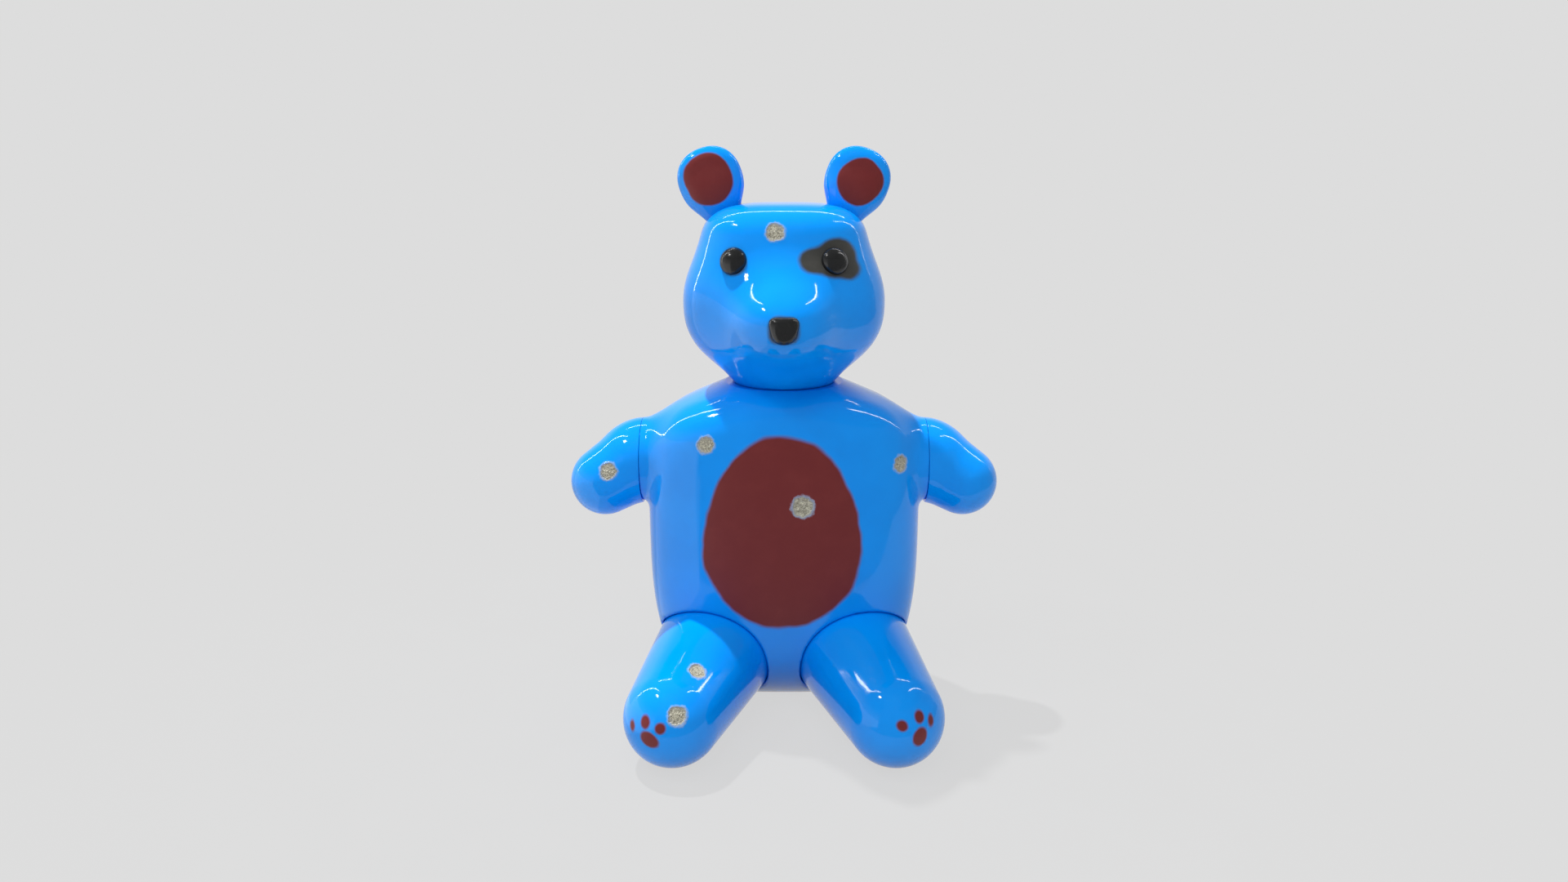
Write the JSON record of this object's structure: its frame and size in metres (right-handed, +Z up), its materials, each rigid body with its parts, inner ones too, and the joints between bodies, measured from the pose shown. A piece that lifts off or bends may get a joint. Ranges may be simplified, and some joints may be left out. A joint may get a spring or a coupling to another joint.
{
  "type": "jointed vinyl art toy",
  "caption": "Seated glossy blue vinyl bear with round ears, domed eyes and nose, dark red belly and paw marks, and turning head, arms and legs on snap joints.",
  "frame": {"origin": "middle of the flat seat, on the surface that the toy sits on", "axes": "+Z up, -Y the way the toy faces, +X towards the toy's own left"},
  "size_m": [0.154, 0.1016, 0.2007],
  "materials": {
    "vinyl_blue": "high gloss, cast in colour, with airbrushed dark red patches and a few chips",
    "trim_black": "polished",
    "fitting_white": "plain moulded",
    "washer_grey": "plain moulded"
  },
  "bodies": {
    "torso": {"torso_shell": "vinyl_blue", "neck_collar": "fitting_white", "neck_friction_ring": "washer_grey", "left_arm_friction_washer": "washer_grey", "right_arm_friction_washer": "washer_grey", "left_leg_friction_washer": "washer_grey", "right_leg_friction_washer": "washer_grey"},
    "head": {"head_shell": "vinyl_blue", "left_ear": "vinyl_blue", "right_ear": "vinyl_blue", "left_eye": "trim_black", "right_eye": "trim_black", "nose": "trim_black", "left_eye_lock_washer": "washer_grey", "right_eye_lock_washer": "washer_grey", "nose_lock_washer": "washer_grey", "neck_plug": "fitting_white"},
    "left_arm": {"left_arm_shell": "vinyl_blue", "left_arm_joint_post": "fitting_white", "left_arm_lock_washer": "fitting_white"},
    "right_arm": {"right_arm_shell": "vinyl_blue", "right_arm_joint_post": "fitting_white", "right_arm_lock_washer": "fitting_white"},
    "left_leg": {"left_leg_shell": "vinyl_blue", "left_leg_joint_post": "fitting_white", "left_leg_lock_washer": "fitting_white"},
    "right_leg": {"right_leg_shell": "vinyl_blue", "right_leg_joint_post": "fitting_white", "right_leg_lock_washer": "fitting_white"}
  },
  "joints": [
    {"name": "neck", "type": "hinge", "parent": "torso", "child": "head", "pos_m": [0, 0, 0.12], "axis": [0, 0, 1], "continuous": true},
    {"name": "left_shoulder", "type": "hinge", "parent": "torso", "child": "left_arm", "pos_m": [0.051, 0, 0.0909], "axis": [1, 0, 0], "continuous": true},
    {"name": "right_shoulder", "type": "hinge", "parent": "torso", "child": "right_arm", "pos_m": [-0.051, 0, 0.0909], "axis": [1, 0, 0], "continuous": true},
    {"name": "left_hip", "type": "hinge", "parent": "torso", "child": "left_leg", "pos_m": [0.0255, -0.015, 0.0216], "axis": [0.2807, -0.952, -0.1221], "continuous": true},
    {"name": "right_hip", "type": "hinge", "parent": "torso", "child": "right_leg", "pos_m": [-0.0255, -0.015, 0.0216], "axis": [-0.2807, -0.952, -0.1221], "continuous": true}
  ]
}
